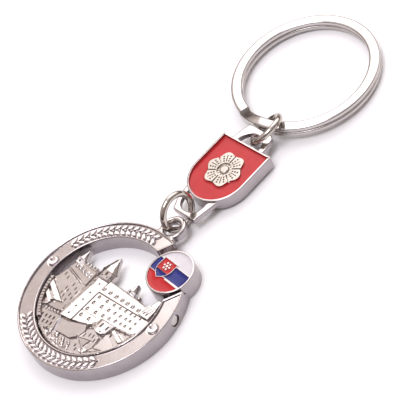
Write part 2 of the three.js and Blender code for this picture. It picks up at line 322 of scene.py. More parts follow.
def relief(name, loops, paint, bottom, step, place, edge=0.12, lines=(), base=1.0, sharp=38):
    """A closed solid with a painted top, straight walls and a flat underside.

    Loops run anticlockwise, holes clockwise. Lines are features that get their own corners."""
    probe = Relief(np.zeros((1, 2)), base)
    paint(probe)
    lines = [*lines, *probe.edges]
    loops = [dense(loop, max(step * 1.6, 0.12)) for loop in loops]
    rim_points = np.concatenate(loops)
    count = len(rim_points)
    insets = [0.12 * edge, 0.42 * edge, edge] if edge else []
    extra = [loop + inward(loop) * inset for inset in insets for loop in loops]
    extra_points = np.concatenate(extra) if extra else np.zeros((0, 2))
    line_points = []
    for line in lines:
        closed = np.hypot(*(np.asarray(line[0]) - np.asarray(line[-1]))) < 1e-6
        path = dense(line[:-1] if closed else line, min(step, 0.14), closed)
        along = np.gradient(path, axis=0)
        along /= np.maximum(np.hypot(along[:, 0], along[:, 1]), 1e-9)[:, None]
        side = np.c_[-along[:, 1], along[:, 0]]
        line_points += [path - 0.035 * side, path + 0.035 * side]
    line_points = np.concatenate(line_points) if line_points else np.zeros((0, 2))
    low, high = rim_points.min(0), rim_points.max(0)
    rows = np.arange(low[1], high[1], step * 0.866)
    cols = np.arange(low[0], high[0] + step, step)
    grid = np.array([(x + (i % 2) * step / 2, y) for i, y in enumerate(rows) for x in cols])
    clear = signed(grid, loops)
    grid = grid[clear > edge + 0.4 * step]
    if len(line_points):
        keep = np.ones(len(grid), bool)
        cell = step * 0.55
        taken = {(int(x // cell), int(y // cell)) for x, y in line_points}
        for i, (x, y) in enumerate(grid):
            a, b = int(x // cell), int(y // cell)
            keep[i] = (a, b) not in taken
        grid = grid[keep]
        line_points = line_points[signed(line_points, loops) > edge + 0.02]
    if edge:
        wanted = np.repeat(insets, count)
        extra_points = extra_points[np.abs(signed(extra_points, loops) - wanted) < 0.25 * wanted]
    points = np.concatenate([rim_points, extra_points, line_points, grid])
    edges = loop_edges(loops)
    top, tris, origin = triangulate(points, edges)
    tris = tris[inside(top[tris].mean(1), loops)]
    place_of = np.full(count, -1)
    for new, old in enumerate(origin):
        for o in old:
            if o < count:
                place_of[o] = new
    field = Relief(top, base)
    paint(field)
    if edge:
        gap = np.clip(signed(top, loops), 0, edge)
        field.z -= edge - np.sqrt(edge**2 - (edge - gap) ** 2)
    verts = [(x, y, z) for (x, y), z in zip(top, field.z)]
    faces = [tuple(int(i) for i in t) for t in tris]
    ring = len(verts)
    verts += [(x, y, bottom) for x, y in rim_points]
    faces += [(int(place_of[a]), ring + a, ring + b, int(place_of[b])) for a, b in edges]
    flat, under, origin = triangulate(rim_points, edges)
    under = under[inside(flat[under].mean(1), loops)]
    back = [old[0] for old in origin]
    faces += [tuple(ring + back[int(i)] for i in reversed(t)) for t in under]
    return add_mesh(name, verts, faces, place, sharp)


def carve(obj, cutters):
    """Takes the cutters out of obj and removes them."""
    for cutter in cutters:
        step = obj.modifiers.new("cut", "BOOLEAN")
        step.operation = "DIFFERENCE"
        step.solver = "EXACT"
        step.object = cutter
    bpy.context.view_layer.update()
    done = bpy.data.meshes.new_from_object(obj.evaluated_get(bpy.context.evaluated_depsgraph_get()))
    obj.modifiers.clear()
    obj.data = done
    for cutter in cutters:
        bpy.data.objects.remove(cutter)
    done.shade_smooth()
    done.set_sharp_from_angle(angle=math.radians(38))
    return obj


def turned(name, profile, place, sides=40):
    """A solid of revolution about z, from (radius, height) pairs that start and end on the axis."""
    verts, faces = [], []
    rows = profile[1:-1]
    verts.append((0, 0, profile[0][1]))
    for radius, z in rows:
        for k in range(sides):
            a = 2 * math.pi * k / sides
            verts.append((radius * math.cos(a), radius * math.sin(a), z))
    verts.append((0, 0, profile[-1][1]))
    last = len(verts) - 1
    for k in range(sides):
        n = (k + 1) % sides
        faces.append((0, 1 + n, 1 + k))
        faces.append((last, last - sides + k, last - sides + n))
        for row in range(len(rows) - 1):
            a = 1 + row * sides
            faces.append((a + k, a + n, a + sides + n, a + sides + k))
    return add_mesh(name, verts, faces, place)


def swept(name, path, section, place):
    """A section (list of side, lift pairs) carried along frames (point, side, lift), its ends closed."""
    verts, faces = [], []
    size = len(section)
    for point, side, lift in path:
        for s, t in section:
            verts.append(tuple(point + side * s + lift * t))
    count = len(path)
    for i in range(count - 1):
        row, after = i * size, (i + 1) * size
        for k in range(size):
            n = (k + 1) % size
            faces.append((row + k, row + n, after + n, after + k))
    faces.append(tuple(reversed(range(size))))
    faces.append(tuple(range((count - 1) * size, count * size)))
    return add_mesh(name, verts, faces, place)


# ---- materials -----------------------------------------------------------------------------

def new_material(name):
    material = bpy.data.materials.new(name)
    material.use_nodes = True
    tree = material.node_tree
    return material, tree.nodes, tree.links, tree.nodes["Principled BSDF"]


def noise_of(nodes, links, scale, detail=3.0, rough=0.55):
    """Noise on the piece's own coordinates; scale is in features per metre."""
    coords = nodes.new("ShaderNodeTexCoord")
    noise = nodes.new("ShaderNodeTexNoise")
    noise.inputs["Scale"].default_value = scale
    noise.inputs["Detail"].default_value = detail
    noise.inputs["Roughness"].default_value = rough
    links.new(coords.outputs["Object"], noise.inputs["Vector"])
    return noise


def ramp_of(nodes, links, source, stops):
    ramp = nodes.new("ShaderNodeValToRGB")
    while len(ramp.color_ramp.elements) < len(stops):
        ramp.color_ramp.elements.new(0.5)
    for element, (position, color) in zip(ramp.color_ramp.elements, stops):
        element.position = position
        element.color = (*color, 1)
    links.new(source, ramp.inputs["Fac"])
    return ramp


def add_bump(nodes, links, shader, noise, strength, depth):
    """A fine uneven skin; depth is in metres."""
    lift = nodes.new("ShaderNodeBump")
    lift.inputs["Strength"].default_value = strength
    lift.inputs["Distance"].default_value = depth
    links.new(noise.outputs["Fac"], lift.inputs["Height"])
    links.new(lift.outputs["Normal"], shader.inputs["Normal"])


def metal(name, light, dark, rough_low, rough_high, bump, grain=2600):
    """Plated metal: faint tint change, uneven polish and a fine cast or drawn skin."""
    material, nodes, links, shader = new_material(name)
    shader.inputs["Metallic"].default_value = 1.0
    tint = noise_of(nodes, links, 260, 4, 0.6)
    colour = ramp_of(nodes, links, tint.outputs["Fac"], [(0.3, dark), (0.72, light)])
    links.new(colour.outputs["Color"], shader.inputs["Base Color"])
    polish = noise_of(nodes, links, 700, 5, 0.65)
    spread = nodes.new("ShaderNodeMapRange")
    spread.inputs["From Min"].default_value = 0.3
    spread.inputs["From Max"].default_value = 0.7
    spread.inputs["To Min"].default_value = rough_low
    spread.inputs["To Max"].default_value = rough_high
    links.new(polish.outputs["Fac"], spread.inputs["Value"])
    links.new(spread.outputs["Result"], shader.inputs["Roughness"])
    skin = noise_of(nodes, links, grain, 4, 0.7)
    add_bump(nodes, links, shader, skin, bump, 0.00004)
    return material


def enamel(name, light, dark):
    """Soft enamel: glossy skin, slight unevenness of colour, a faint orange-peel surface."""
    material, nodes, links, shader = new_material(name)
    shader.inputs["Roughness"].default_value = 0.3
    shader.inputs["Specular IOR Level"].default_value = 0.25
    shader.inputs["Coat Weight"].default_value = 0.25
    shader.inputs["Coat Roughness"].default_value = 0.08
    cloud = noise_of(nodes, links, 420, 4, 0.6)
    colour = ramp_of(nodes, links, cloud.outputs["Fac"], [(0.32, dark), (0.68, light)])
    links.new(colour.outputs["Color"], shader.inputs["Base Color"])
    peel = noise_of(nodes, links, 1500, 2, 0.5)
    add_bump(nodes, links, shader, peel, 0.12, 0.00003)
    return material


NICKEL = metal("cast_nickel", (0.555, 0.51, 0.505), (0.495, 0.45, 0.445), 0.14, 0.21, 0.035)
# Painted shade: the walls take a darker, rougher copy of the nickel, standing in for the shaded floor that
# they mirror.
NICKEL_SHADED_WALL = metal("painted_shade_wall_nickel", (0.44, 0.40, 0.415), (0.385, 0.35, 0.36), 0.2, 0.28, 0.05)
WALL_SLOPE = 0.3  # faces steeper than this are walls
EMBLEM_NICKEL = metal("emblem_nickel", (0.50, 0.455, 0.415), (0.43, 0.385, 0.345), 0.2, 0.3, 0.06, 3200)
RELIEF_NICKEL = metal("relief_nickel", (0.57, 0.525, 0.515), (0.51, 0.465, 0.45), 0.16, 0.23, 0.04, 3200)
STEEL = metal("bright_steel", (0.61, 0.575, 0.565), (0.54, 0.505, 0.49), 0.09, 0.15, 0.03, 1800)
WIRE = metal("wire_steel", (0.60, 0.555, 0.52), (0.49, 0.435, 0.39), 0.10, 0.17, 0.06, 1500)
RED = enamel("red_enamel", (0.52, 0.008, 0.014), (0.45, 0.004, 0.008))
BLUE = enamel("blue_enamel", (0.006, 0.012, 0.19), (0.004, 0.007, 0.14))
WHITE = enamel("white_enamel", (0.68, 0.64, 0.67), (0.62, 0.58, 0.61))


def finish_piece(obj, material, body, nodes=()):
    obj.data.materials.clear()
    obj.data.materials.append(material)
    # Painted shade: faces steeper than WALL_SLOPE get the darker wall nickel, the tops keep the lit one.
    if material is NICKEL:
        obj.data.materials.append(NICKEL_SHADED_WALL)
        for face in obj.data.polygons:
            face.material_index = int(abs(face.normal.z) < WALL_SLOPE)
    if nodes:
        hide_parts(*nodes)
    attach(obj, body)


# ---- pendant ring --------------------------------------------------------------------------

def clockwise(angle, radius):
    """A point of the pendant by its angle clockwise from the v axis."""
    a = math.radians(angle)
    return (radius * math.sin(a), radius * math.cos(a))


def slot_frame(points):
    a = math.radians(SLOT_ANGLE)
    across = points[:, 0] * math.cos(a) - points[:, 1] * math.sin(a) - SLOT_OFFSET
    along = points[:, 0] * math.sin(a) + points[:, 1] * math.cos(a)
    return across, along


def ring_outline():
    """The band with the badge's round seat cut through it."""
    seat = BADGE_RADIUS + 0.15
    reach = math.hypot(*BADGE)
    centre = math.degrees(math.atan2(BADGE[1], BADGE[0]))

    def half_cut(radius):
        return math.degrees(math.acos((reach**2 + radius**2 - seat**2) / (2 * reach * radius)))

    wide, narrow = half_cut(PENDANT_OUTER), half_cut(PENDANT_INNER)
    outer = arc((0, 0), PENDANT_OUTER, centre + wide, centre + 360 - wide, 0.3)
    inner = arc((0, 0), PENDANT_INNER, centre + 360 - narrow, centre + narrow, 0.3)

    def bite(a, b):
        start = math.degrees(math.atan2(a[1] - BADGE[1], a[0] - BADGE[0]))
        end = math.degrees(math.atan2(b[1] - BADGE[1], b[0] - BADGE[0]))
        sweep = (end - start + 180) % 360 - 180
        return arc(BADGE, seat, start, start + sweep, 0.3)[1:-1]

    return np.concatenate([outer, bite(outer[-1], inner[0]), inner, bite(inner[-1], outer[0])])


ARCS = ((-71.5, 1.5, 15), (134.5, 222.5, 18))  # ornament: from, to and how many pairs of leaves
CRESCENTS = (-88.5, 89)
STEM_RADIUS = 15.8
TO_LIGHT = (-0.03, -0.075)  # rise along u and v of a face that mirrors the softbox


def leaf(r, centre, angle, long, wide):
    """Gap to a pointed leaf: where two discs overlap."""
    radius = (long**2 / 4 + wide**2 / 4) / wide
    shift = radius - wide / 2
    a = math.radians(angle)
    half_sweep = math.degrees(math.asin(long / 2 / radius))
    gaps, sides = [], []
    for turn in (90, -90):
        facing = a + math.radians(turn)
        hub = (centre[0] - shift * math.cos(facing), centre[1] - shift * math.sin(facing))
        gaps.append(radius - np.hypot(r.u - hub[0], r.v - hub[1]))
        middle_angle = angle + turn
        sides.append(arc(hub, radius, middle_angle - half_sweep, middle_angle + half_sweep, 0.12))
    r.edges.append(np.vstack([sides[0], sides[1], sides[0][:1]]))
    return np.minimum(*gaps)


def ornament(r):
    """A laurel twig along each arc: pairs of leaves on a stem, with a bead between the pairs."""
    for start, end, count in ARCS:
        pitch = (end - start) / count
        for i in range(count):
            angle = start + pitch * (i + 0.5)
            for side in (-1, 1):
                centre = clockwise(angle + 0.25 * pitch, STEM_RADIUS + 0.62 * side)
                gap = leaf(r, centre, -angle + side * 40, 1.42, 0.6)
                r.shift(gap + 0.16, -0.12, 0.1)
                r.slope(gap, centre, PENDANT_TOP - 0.06, *TO_LIGHT)
            bead = r.disc(clockwise(angle - 0.42 * pitch, STEM_RADIUS), 0.17)
            r.level(bead, PENDANT_TOP - 0.05)
    for angle in CRESCENTS:
        here = np.array(clockwise(angle, 15.72))
        moon = np.minimum(r.disc(here, 1.02), -r.disc(here + (-0.3, 0.42), 0.74))
        r.shift(moon + 0.15, -0.12, 0.1)
        r.slope(moon, here, PENDANT_TOP - 0.04, *TO_LIGHT)


def paint_ring(r):
    radius = np.hypot(r.u, r.v)
    across, along = slot_frame(r.p)
    beyond = np.where(along > 0, np.abs(across) - SLOT_HALF, 9.0)
    edge = np.minimum(np.minimum(PENDANT_OUTER - radius, radius - PENDANT_INNER), beyond)
    off_bead = np.clip(np.abs(edge - RIM_BEAD), 0, RIM_BEAD)
    bead = PENDANT_TOP - RIM_BEAD + np.sqrt(RIM_BEAD**2 - off_bead**2)
    share = np.clip((edge - 2 * RIM_BEAD) / 0.05 + 1, 0, 1)
    r.z = np.where(edge < RIM_BEAD, PENDANT_TOP, bead)
    r.z += share * (BAND_FLOOR - r.z)
    low = NECK_TOP - 0.25 * np.clip((radius - 16.6) / 0.9, 0, 1) - 0.25 * np.clip((15.0 - radius) / 0.9, 0, 1)
    r.z = np.where(beyond < 0, low, r.z)
    band = r.z.copy()
    ornament(r)
    r.z = np.where(edge > 2 * RIM_BEAD + 0.04, r.z, band)


def circle_line(radius, start, end):
    return arc((0, 0), radius, start, end, 0.25)


def build_ring():
    lines = []
    insets = (RIM_BEAD / 2, RIM_BEAD, 1.5 * RIM_BEAD, 2 * RIM_BEAD)
    for start, end in ((-170, 40), (72, 190)):
        for inset in insets:
            lines.append(circle_line(PENDANT_OUTER - inset, start, end))
            lines.append(circle_line(PENDANT_INNER + inset, start, end))
    a = math.radians(SLOT_ANGLE)
    for side in (-1, 1):
        for inset in (0, *insets):
            w = SLOT_OFFSET + side * (SLOT_HALF + inset)
            ends = [(w * math.cos(a) + t * math.sin(a), -w * math.sin(a) + t * math.cos(a)) for t in (8, 19)]
            lines.append(np.array(ends))
    ring = relief("pendant_ring_body", [ring_outline()], paint_ring, 0.0, 0.16, PENDANT,
                  edge=RIM_BEAD, lines=lines, base=PENDANT_TOP)
    cutters = []
    for angle in (PIN_ANGLE, PIN_ANGLE + 180):
        cutters.append(radial_bar("bore_cutter", angle, PENDANT_INNER - 1, PENDANT_OUTER + 1, PIN_BORE))
        cutters.append(radial_bar("seat_cutter", angle, PIN_OUTER, PENDANT_OUTER + 1, PIN_SEAT))
    carve(ring, cutters)
    return ring


def radial_place(angle):
    """Plane at the pins' height whose z axis points away from the pendant's centre."""
    place = PENDANT @ Matrix.Translation((0, 0, PIN_HEIGHT)) @ Matrix.Rotation(math.radians(-angle), 4, "Z")
    return place @ Matrix.Rotation(math.radians(-90), 4, "X")


def radial_bar(name, angle, start, end, radius):
    """A round bar that points away from the pendant's centre."""
    return turned(name, [(0, start), (radius, start), (radius, end), (0, end)], radial_place(angle))


finish_piece(build_ring(), NICKEL, "pendant", ["pendant_ring"])


def eye_outline():
    """A round lug with a flared root that runs into the band's outer wall."""
    left, right = EYE[0] - 2.2, EYE[0] + 2.2
    top = arc(EYE_RIM, EYE_OUTER, -32, 212, 0.2)
    root = [(left - 0.15, 18.3), (left - 0.55, 17.75), (left - 0.7, 16.9), (right + 0.7, 16.9),
            (right + 0.5, 17.6), (right + 0.1, 18.2)]
    return np.concatenate([top, root])


def paint_eye(r):
    r.z[:] = EYE_HIGH
    hole = np.hypot(r.u - EYE[0], r.v - EYE[1]) - EYE_HOLE
    reach = np.clip(hole, 0, EYE_ROUND)
    r.z -= EYE_ROUND - np.sqrt(EYE_ROUND**2 - (EYE_ROUND - reach) ** 2)


eye = relief("pendant_eye", [eye_outline(), circle(EYE, EYE_HOLE, 0.2)[::-1]], paint_eye,
             EYE_LOW, 0.14, PENDANT, edge=EYE_ROUND, base=EYE_HIGH)
finish_piece(eye, NICKEL, "pendant")


def build_pin(name, angle):
    """The pin's shank with the spread head that shows in the ring's seat."""
    head = PIN_OUTER + 0.03
    profile = [(0, PIN_INNER), (PIN_RADIUS - 0.12, PIN_INNER), (PIN_RADIUS, PIN_INNER + 0.12),
               (PIN_RADIUS, head), (1.0, head), (1.06, head + 0.08), (1.04, head + 0.2),
               (0.9, head + 0.3), (0.5, head + 0.33), (0, head + 0.3)]
    return turned(name, profile, radial_place(angle))


for side, angle in (("right", PIN_ANGLE), ("left", PIN_ANGLE + 180)):
    finish_piece(build_pin("pin_" + side, angle), STEEL, "pendant", ["pivot_pin_" + side])


# ---- badge ---------------------------------------------------------------------------------

CREST_U, CREST_HALF = -1.6, 1.9
CREST_TOP, CREST_SHOULDER, CREST_TIP = 1.95, -0.5, -2.4
CREST_SPLIT = -0.8
ROSETTE = (-1.6, 0.55)
ROSETTE_PETALS = 6
UPPER_LINE, LOWER_LINE = 1.5, -1.65
LINE_HALF = 0.1
STRIP = (0.35, 5.0, -1.98, -1.5)  # the wider bar under the right blue field: left, right, low, high
CELL_FLOOR = 3.62


def crest_outline(grow=0.0):
    """A small shield with a straight top and curved flanks."""
    half = CREST_HALF + grow
    flank = [(CREST_U + half, CREST_SHOULDER + 0.2), (CREST_U + 0.86 * half, CREST_SHOULDER - 0.55),
             (CREST_U + 0.5 * half, CREST_TIP + 0.62 - grow), (CREST_U, CREST_TIP - 1.1 * grow)]
    mirrored = [(2 * CREST_U - u, v) for u, v in flank[-2::-1]]
    top = CREST_TOP + grow
    return np.array([(CREST_U - half, top)] + mirrored[::-1] + flank[::-1][0:1] + flank[-2::-1]
                    + [(CREST_U + half, top)])


def rosette(r):
    """A plain flower of round petals about a round middle."""
    gaps = [r.disc(ROSETTE, 0.34)]
    for k in range(ROSETTE_PETALS):
        a = 2 * math.pi * k / ROSETTE_PETALS
        gaps.append(r.disc((ROSETTE[0] + 0.72 * math.cos(a), ROSETTE[1] + 0.72 * math.sin(a)), 0.27))
    return np.maximum.reduce(gaps)


def badge_gaps(r):
    """Distance from the metal: rim, two level lines, the crest's edge, its split and its rosette."""
    rim = r.disc((0, 0), BADGE_RADIUS) - BADGE_RIM
    crest = r.poly(crest_outline())
    level = np.minimum(np.abs(r.v - UPPER_LINE), np.abs(r.v - LOWER_LINE)) - LINE_HALF
    level = np.where(crest > -LINE_HALF, 9.0, level)
    edge = np.abs(crest) - LINE_HALF
    split = np.where(crest > 0, np.abs(r.v - CREST_SPLIT) - LINE_HALF * 0.8, 9.0)
    left, right, low, high = STRIP
    strip = -r.box(((left + right) / 2, (low + high) / 2), right - left, high - low)
    return np.minimum.reduce([rim, level, edge, split, strip, -rosette(r)])


def paint_badge(r):
    gap = badge_gaps(r)
    share = np.clip((gap + 0.02) / 0.08, 0, 1)
    r.z = BADGE_TOP - (BADGE_TOP - CELL_FLOOR) * share
    r.shift(np.minimum(rosette(r), 0.1), -0.04)


def badge_lines():
    closed = [ring_of(crest_outline(grow)) for grow in (LINE_HALF, -LINE_HALF)]
    lines = closed + [arc((0, 0), BADGE_RADIUS - BADGE_RIM, 0, 360, 0.15)]
    for level in (UPPER_LINE, LOWER_LINE):
        for side in (-1, 1):
            v = level + side * LINE_HALF
            half = math.sqrt((BADGE_RADIUS - BADGE_RIM) ** 2 - v * v)
            lines.append(np.array([(-half, v), (half, v)]))
    return lines


badge = relief("badge_setting", [circle((0, 0), BADGE_RADIUS, 0.22)], paint_badge, 0.0, 0.12, ON_BADGE,
               edge=0.14, lines=badge_lines(), base=BADGE_TOP)
finish_piece(badge, NICKEL, "pendant", ["badge_body"])


ENAMEL_STEP = 0.24
ENAMEL_TOP = BADGE_TOP - 0.2
ENAMEL_DIP = 0.1


def enamel_fill(name, cell, material):
    """Enamel poured in a cell: its edge follows the metal lines and its skin dips in the middle."""
    span = np.arange(-BADGE_RADIUS, BADGE_RADIUS, ENAMEL_STEP)
    grid = np.array([(x + (i % 2) * ENAMEL_STEP / 2, y) for i, y in enumerate(span) for x in span])
    probe = Relief(grid, 0.0)
    inner = grid[cell(probe) > 0.07]
    rims = [dense(edge[:-1], 0.16) for edge in probe.edges]
    flat, tris, _ = triangulate(np.concatenate([inner, *rims]), loop_edges(rims, len(inner)))
    tris = tris[cell(Relief(flat[tris].mean(1), 0.0)) > 0]
    used = np.unique(tris)
    tris = np.searchsorted(used, tris)
    flat = flat[used]
    z = ENAMEL_TOP - ENAMEL_DIP * np.clip(cell(Relief(flat, 0.0)) / 0.6, 0, 1) ** 0.7
    count = len(flat)
    verts = [(x, y, h) for (x, y), h in zip(flat, z)] + [(x, y, CELL_FLOOR - 0.05) for x, y in flat]
    faces = [tuple(int(i) for i in t) for t in tris]
    faces += [tuple(int(i) + count for i in reversed(t)) for t in tris]
    sides = {(int(a), int(b)) for t in tris for a, b in ((t[0], t[1]), (t[1], t[2]), (t[2], t[0]))}
    faces += [(b, a, a + count, b + count) for a, b in sorted(sides) if (b, a) not in sides]
    fill = add_mesh(name, verts, faces, ON_BADGE, 60)
    finish_piece(fill, material, "pendant", ["badge_" + name])


def band_box(r, low, high, left=-6.0, right=6.0):
    return r.box(((left + right) / 2, (low + high) / 2), right - left, high - low)


def field_cell(low, high, left=-6.0, right=6.0):
    """The badge's field between two level lines, outside the crest and the bar."""
    def cell(r):
        rim = r.disc((0, 0), BADGE_RADIUS - BADGE_RIM)
        crest = -r.poly(crest_outline(LINE_HALF))
        strip = -band_box(r, STRIP[2], STRIP[3], STRIP[0], STRIP[1])
        band = band_box(r, low + LINE_HALF, high - LINE_HALF, left, right)
        return np.minimum.reduce([rim, crest, strip, band])
    return cell


def crest_cell(low, high):
    """The crest between two levels, round the rosette."""
    def cell(r):
        crest = r.poly(crest_outline(-LINE_HALF))
        band = band_box(r, low + 0.8 * LINE_HALF, high - 0.8 * LINE_HALF)
        return np.minimum.reduce([crest, band, -rosette(r)])
    return cell


FILLS = (
    ("enamel_white", field_cell(UPPER_LINE, 6), WHITE, "white_enamel"),
    ("enamel_blue_left", field_cell(LOWER_LINE, UPPER_LINE, right=CREST_U), BLUE, "blue_enamel"),
    ("enamel_blue_right", field_cell(LOWER_LINE, UPPER_LINE, left=CREST_U), BLUE, "blue_enamel"),
    ("enamel_red", field_cell(-6, LOWER_LINE), RED, "red_enamel"),
    ("crest_red", crest_cell(CREST_SPLIT, 6), RED, "red_enamel"),
    ("crest_blue", crest_cell(-6, CREST_SPLIT), BLUE, "blue_enamel"),
)
for name, cell, material, slot in FILLS:
    enamel_fill(name, cell, material)


# ---- castle panel --------------------------------------------------------------------------

PLATE = 2.35
SKYLINE = [
    (11.35, 5.95), (10.9, 4.2), (10.55, 4.05), (10.3, 3.45), (7.75, 3.6), (7.78, 3.95), (7.6, 4.25),
    (7.3, 4.32), (7.05, 4.2), (6.98, 3.65), (5.95, 3.68), (5.98, 4.4), (5.72, 4.55), (4.87, 6.28),
    (4.3, 4.62), (4.02, 4.45), (4.05, 3.72), (3.45, 3.74), (3.4, 3.98), (2.85, 4.0), (2.8, 3.72),
    (1.9, 3.72), (1.85, 3.92), (1.4, 3.92), (1.35, 3.74), (-1.3, 3.78), (-1.2, 5.35), (-1.5, 5.62),
    (-3.28, 8.8), (-5.0, 5.66), (-5.38, 5.4), (-5.3, 4.3),
]
TURRET = [(-9.75, 3.95), (-9.62, 4.3), (-10.0, 4.5), (-10.95, 6.8), (-11.5, 4.5), (-11.72, 4.25),
          (-11.55, 3.4), (-12.2, 0.7), (-12.75, -1.3)]


def panel_outline():
    merlons = []
    for i in range(4):
        left = -5.65 - 0.95 * i
        merlons += [(left, 4.38), (left - 0.5, 4.42), (left - 0.5, 4.0), (left - 0.9, 4.0)]
    right = math.degrees(math.atan2(5.95, 12.34))
    left = math.degrees(math.atan2(-1.95, -13.56))
    foot = arc((0, 0), PANEL_RADIUS, left, right, 0.3)
    return np.concatenate([SKYLINE, merlons, TURRET, foot])


HALL_COLUMNS = ((-0.35, 0.62), (1.85, 0.60), (3.85, 0.55), (5.5, 0.52), (7.0, 0.48), (8.45, 0.46),
                (9.6, 0.43), (11.0, 0.42))
HALL_ROWS = ((-0.17, 0.078), (-1.80, 0.108), (-3.55, 0.142), (-5.3, 0.09))
DORMERS = (-0.75, 1.0, 2.8, 4.5, 6.0, 7.55, 9.2, 10.4)


def bright(r, corners, point, z, soft=0.07):
    """A face that leans up the drawing, so that it mirrors the softbox."""
    r.slope(r.poly(corners), point, z, *TO_LIGHT, soft)


def dull(r, corners, point, z, rise_u=0.0, rise_v=0.0):
    """A level or turned face, which mirrors the dome."""
    r.slope(r.poly(corners), point, z, rise_u, rise_v)


def paint_hall(r):
    bright(r, [(-1.45, -7.4), (-1.45, 0.6), (12.2, 1.3), (13.6, 1.0), (13.4, -2.9), (5.0, -4.4), (2.5, -6.5)],
           (0, 0), 2.86)
    r.shift(r.poly([(2.9, -6.6), (2.9, 0.8), (14, 1.3), (14, -2.8), (5.2, -4.2)]), 0.08)
    r.shift(r.bar([(-1.4, -4.45), (2.9, -4.15)], 0.14), -0.12)
    r.shift(r.bar([(5.0, -4.0), (12.6, -2.75)], 0.18), 0.1)
    for column, (u, size) in enumerate(HALL_COLUMNS):
        for row, (base, rise) in enumerate(HALL_ROWS):
            if row == 3 and column > 1:
                continue
            v = base + rise * u
            tall = size * (1.35 if row else 1.2)
            r.shift(r.window((u, v), size * 0.95, tall, 4), -0.34)
            r.shift(r.window((u - 0.04, v - 0.07), size * 0.42, tall * 0.6, 4), 0.24)
    for u in (8.25, 9.4, 10.85):
        r.shift(r.window((u, -4.55 + 0.1 * u), 0.36, 0.48, 4), -0.28)
    bright(r, [(-1.35, 0.5), (12.0, 1.2), (10.25, 3.5), (7.5, 3.7), (-1.0, 3.8)], (0, 0.5), 3.02)
    r.shift(r.bar([(-1.4, 0.42), (12.1, 1.14)], 0.13), -0.4, 0.05)
    r.shift(r.bar([(-1.0, 3.66), (10.2, 3.4)], 0.14), 0.06)
    for u in DORMERS:
        v = 1.5 + 0.04 * u
        r.shift(r.box((u, v), 0.66, 0.56, 4), 0.16)
        r.shift(r.poly([(u - 0.44, v + 0.26), (u + 0.44, v + 0.3), (u + 0.03, v + 0.66)]), 0.2)
        r.shift(r.box((u - 0.02, v - 0.06), 0.34, 0.36, 4), -0.26)
    dull(r, [(9.9, 1.3), (12.6, 1.3), (12.6, 3.9), (11.3, 4.2), (10.7, 4.1), (10.4, 3.2)],
         (11, 2), 2.95, -0.06)
    for i in range(3):
        r.shift(r.bar([(10.4 + 0.65 * i, 2.0), (10.9 + 0.65 * i, 3.5)], 0.1), -0.14)
    for i in range(2):
        r.shift(r.window((10.9 + 0.75 * i, 2.1), 0.28, 0.5), -0.25)
    bright(r, [(10.75, 4.1), (12.6, 3.95), (12.2, 5.8), (11.35, 6.1)], (11.35, 4), 3.0)


def paint_tower(r):
    dull(r, [(-5.25, 3.5), (-4.0, 3.2), (-4.0, -7.8), (-5.1, -6.9)], (-4.0, -2), 3.0, 0.12, -0.03)
    for i in range(7):
        r.swell(r.disc((-4.62, 2.1 - 1.35 * i), 0.2), 2.93, 0.2)
    bright(r, [(-4.02, 3.3), (-1.42, 3.3), (-1.3, -2), (-1.05, -7.4), (-4.05, -7.75)], (-2.7, -2), 3.16)
    for v in (1.94, -0.6, -2.6, -4.5, -6.5):
        r.shift(r.box((-2.83, v), 0.3, 0.38), -0.3, 0.05)
    r.level(r.bar([(-1.36, 0.3), (-1.12, -7.3)], 0.15), 2.45, 0.05)
    dull(r, [(-5.2, 3.15), (-3.9, 3.0), (-1.35, 3.2), (-1.2, 5.45), (-3.9, 5.5), (-5.35, 5.45)],
         (-3, 4), 3.12, 0.03)
    dull(r, [(-5.4, 3.2), (-4.2, 3.1), (-4.2, 5.5), (-5.4, 5.5)], (-4.2, 4), 3.1, 0.5)
    dull(r, [(-1.9, 3.2), (-1.2, 3.3), (-1.1, 5.4), (-1.9, 5.2)], (-1.9, 4), 3.12, -0.75)
    r.shift(r.bar([(-5.3, 3.3), (-1.4, 3.3)], 0.2), 0.14)
    r.shift(r.bar([(-5.3, 5.25), (-1.35, 5.1)], 0.2), 0.16)
    for u, v, size in ((-3.15, 4.5, 0.5), (-4.7, 4.3, 0.3), (-1.62, 4.3, 0.28), (-3.9, 3.85, 0.22),
                       (-2.35, 3.85, 0.24)):
        r.shift(r.window((u, v), size, size * 1.6), -0.5, 0.05)
    dull(r, [(-5.5, 5.35), (-3.9, 5.15), (-3.3, 8.95), (-3.6, 8.6)], (-3.9, 5.1), 3.2, 0.34, -0.05)
    bright(r, [(-3.95, 5.15), (-2.05, 5.1), (-3.1, 8.95), (-3.35, 8.9)], (-3.9, 5.1), 3.22)
    dull(r, [(-2.1, 5.1), (-1.05, 5.3), (-1.2, 5.6), (-3.05, 8.95), (-3.2, 8.9)],
         (-2.1, 5.1), 3.16, -0.95, -0.28)


